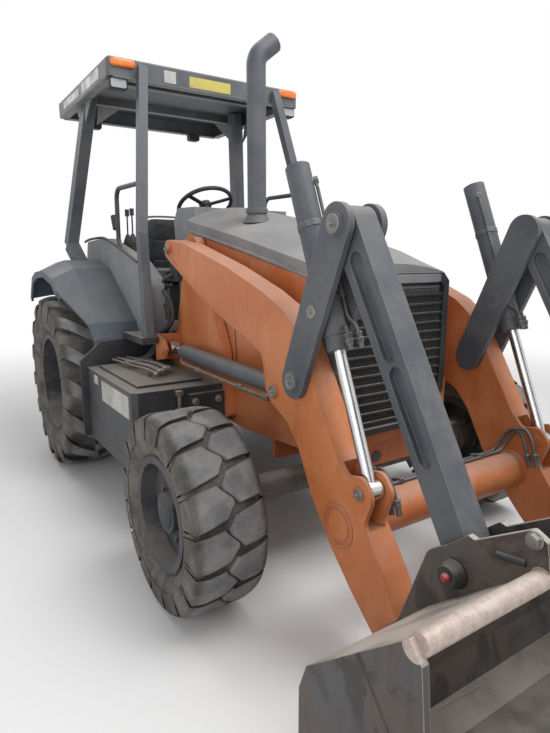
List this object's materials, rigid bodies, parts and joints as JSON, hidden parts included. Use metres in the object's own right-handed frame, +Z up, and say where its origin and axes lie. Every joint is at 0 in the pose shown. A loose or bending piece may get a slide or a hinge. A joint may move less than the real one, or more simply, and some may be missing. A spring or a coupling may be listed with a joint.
{
  "type": "tractor loader with open canopy",
  "caption": "Rigid-frame tractor loader with an open four-post canopy, paired loader arms, a wide front bucket and a bare rear three-point hitch.",
  "frame": {"origin": "on the ground under the middle of the machine's box, halfway along its length and on its centre plane", "axes": "+X forward toward the bucket, +Y to the machine's left, +Z up"},
  "size_m": [4.91, 2.12, 2.64],
  "materials": {
    "orange_paint": "faded satin",
    "charcoal_paint": "dusty satin",
    "beige_paint": "dusty satin",
    "black_paint": "dusty satin",
    "blue_grey_paint": "dusty satin",
    "cast_grey": "cast, painted grey",
    "chrome_rod": "polished",
    "worn_steel": "worn and rusty",
    "tyre_rubber": "dusty rubber",
    "black_vinyl": "grained",
    "black_plastic": "moulded",
    "amber_lens": "clear moulded"
  },
  "bodies": {
    "chassis": {"main_frame": "orange_paint", "loader_towers": "orange_paint", "rear_axle": "cast_grey", "front_axle": "cast_grey", "engine_block": "cast_grey", "gearbox": "cast_grey", "hood": "beige_paint", "hood_side_panels": "orange_paint", "grille": "black_paint", "cowl": "black_plastic", "exhaust_stack": "charcoal_paint", "platform": "black_paint", "fuel_tank": "black_paint", "hydraulic_tank": "black_paint", "rear_fenders": "blue_grey_paint", "side_consoles": "beige_paint", "steering_column": "black_paint", "control_lever": "black_plastic", "rops_posts": "charcoal_paint", "canopy": "charcoal_paint", "grab_rails": "charcoal_paint", "amber_lamps": "amber_lens", "work_lamps": "black_plastic", "seat_base": "black_paint", "seat_cushion": "black_vinyl", "seat_back": "black_vinyl", "hitch_frame": "cast_grey"},
    "steering_wheel": {"steering_wheel": "black_plastic"},
    "knuckle_right": {"steering_knuckle_right": "cast_grey"},
    "knuckle_left": {"steering_knuckle_left": "cast_grey"},
    "rear_wheel_right": {"rear_rim_right": "charcoal_paint", "rear_tyre_right": "tyre_rubber"},
    "rear_wheel_left": {"rear_rim_left": "charcoal_paint", "rear_tyre_left": "tyre_rubber"},
    "front_wheel_right": {"front_rim_right": "charcoal_paint", "front_tyre_right": "tyre_rubber"},
    "front_wheel_left": {"front_rim_left": "charcoal_paint", "front_tyre_left": "tyre_rubber"},
    "arms": {"loader_arm_right": "orange_paint", "loader_arm_left": "orange_paint", "torque_tube": "orange_paint"},
    "lift_barrels": {"lift_barrels": "charcoal_paint"},
    "lift_rods": {"lift_rods": "chrome_rod"},
    "bell_cranks": {"bell_cranks": "charcoal_paint"},
    "tilt_barrels": {"tilt_barrels": "charcoal_paint"},
    "tilt_rods": {"tilt_rods": "chrome_rod"},
    "bucket_links": {"bucket_links": "charcoal_paint"},
    "bucket": {"bucket_shell": "worn_steel", "bucket_cutting_edge": "worn_steel", "bucket_ears": "charcoal_paint"},
    "hitch_lower_links": {"hitch_lower_links": "cast_grey"},
    "hitch_lift_rods": {"hitch_lift_rods": "cast_grey"},
    "hitch_rockshaft": {"hitch_rockshaft": "cast_grey"}
  },
  "joints": [
    {"name": "rear_wheel_right_spin", "type": "hinge", "parent": "chassis", "child": "rear_wheel_right", "pos_m": [-1.445, -0.845, 0.6], "axis": [0, 1, 0], "continuous": true},
    {"name": "rear_wheel_left_spin", "type": "hinge", "parent": "chassis", "child": "rear_wheel_left", "pos_m": [-1.445, 0.845, 0.6], "axis": [0, 1, 0], "continuous": true},
    {"name": "steer_right", "type": "hinge", "parent": "chassis", "child": "knuckle_right", "pos_m": [0.595, -0.8, 0.42], "axis": [0, 0, 1], "range_deg": [-35, 35]},
    {"name": "front_wheel_right_spin", "type": "hinge", "parent": "knuckle_right", "child": "front_wheel_right", "pos_m": [0.595, -0.905, 0.42], "axis": [0, 1, 0], "continuous": true},
    {"name": "steer_left", "type": "hinge", "parent": "chassis", "child": "knuckle_left", "pos_m": [0.595, 0.8, 0.42], "axis": [0, 0, 1], "range_deg": [-35, 35]},
    {"name": "front_wheel_left_spin", "type": "hinge", "parent": "knuckle_left", "child": "front_wheel_left", "pos_m": [0.595, 0.905, 0.42], "axis": [0, 1, 0], "continuous": true},
    {"name": "steering_wheel_turn", "type": "hinge", "parent": "chassis", "child": "steering_wheel", "pos_m": [-1.015, 0, 1.825], "axis": [-0.5339, 0, 0.8456], "continuous": true},
    {"name": "arms_lift", "type": "hinge", "parent": "chassis", "child": "arms", "pos_m": [-0.315, 0, 1.51], "axis": [0, -1, 0], "range_deg": [0, 90]},
    {"name": "lift_barrels_swing", "type": "hinge", "parent": "arms", "child": "lift_barrels", "pos_m": [0.765, 0, 0.92], "axis": [0, -1, 0], "range_deg": [-21.86, 0.5]},
    {"name": "lift_rods_slide", "type": "slide", "parent": "lift_barrels", "child": "lift_rods", "axis": [-1, 0, 0.0083], "range_m": [-0.004, 0.6752]},
    {"name": "bucket_tilt", "type": "hinge", "parent": "arms", "child": "bucket", "pos_m": [1.485, 0, 0.185], "axis": [0, -1, 0], "range_deg": [-105, 25]},
    {"name": "bell_cranks_swing", "type": "hinge", "parent": "arms", "child": "bell_cranks", "pos_m": [0.931, 0, 0.994], "axis": [0, -1, 0], "range_deg": [-77.81, 18.91]},
    {"name": "bucket_links_swing", "type": "hinge", "parent": "bucket", "child": "bucket_links", "pos_m": [1.733, 0, 0.593], "axis": [0, -1, 0], "range_deg": [-22.59, 93.26]},
    {"name": "tilt_barrels_swing", "type": "hinge", "parent": "bell_cranks", "child": "tilt_barrels", "pos_m": [1.052, 0, 1.272], "axis": [0, -1, 0], "range_deg": [-13.84, 56.53]},
    {"name": "tilt_rods_slide", "type": "slide", "parent": "tilt_barrels", "child": "tilt_rods", "axis": [0.3756, 0, -0.9268], "range_m": [-0.3865, 0.0951]},
    {"name": "hitch_links_lift", "type": "hinge", "parent": "chassis", "child": "hitch_lower_links", "pos_m": [-1.775, 0, 0.56], "axis": [0, 1, 0], "range_deg": [-14, 22]},
    {"name": "hitch_rockshaft_turn", "type": "hinge", "parent": "chassis", "child": "hitch_rockshaft", "pos_m": [-1.945, 0, 0.84], "axis": [0, 1, 0], "range_deg": [-14.5, 22.5]},
    {"name": "hitch_lift_rods_swing", "type": "hinge", "parent": "hitch_rockshaft", "child": "hitch_lift_rods", "pos_m": [-2.265, 0, 0.77], "axis": [0, 1, 0], "range_deg": [-22.5, 14.5]}
  ],
  "couplings": [
    {"joint": "steer_left", "follows": "steer_right", "ratio": 1},
    {"joint": "lift_barrels_swing", "follows": "arms_lift", "ratio": -0.2373},
    {"joint": "lift_rods_slide", "follows": "arms_lift", "m_per_rad": 0.4273},
    {"joint": "bell_cranks_swing", "follows": "bucket_tilt", "ratio": 0.7363},
    {"joint": "bucket_links_swing", "follows": "bucket_tilt", "ratio": -0.8834},
    {"joint": "tilt_barrels_swing", "follows": "bucket_tilt", "ratio": -0.5336},
    {"joint": "tilt_rods_slide", "follows": "bucket_tilt", "m_per_rad": 0.2087},
    {"joint": "hitch_rockshaft_turn", "follows": "hitch_links_lift", "ratio": 1},
    {"joint": "hitch_lift_rods_swing", "follows": "hitch_links_lift", "ratio": -1}
  ]
}
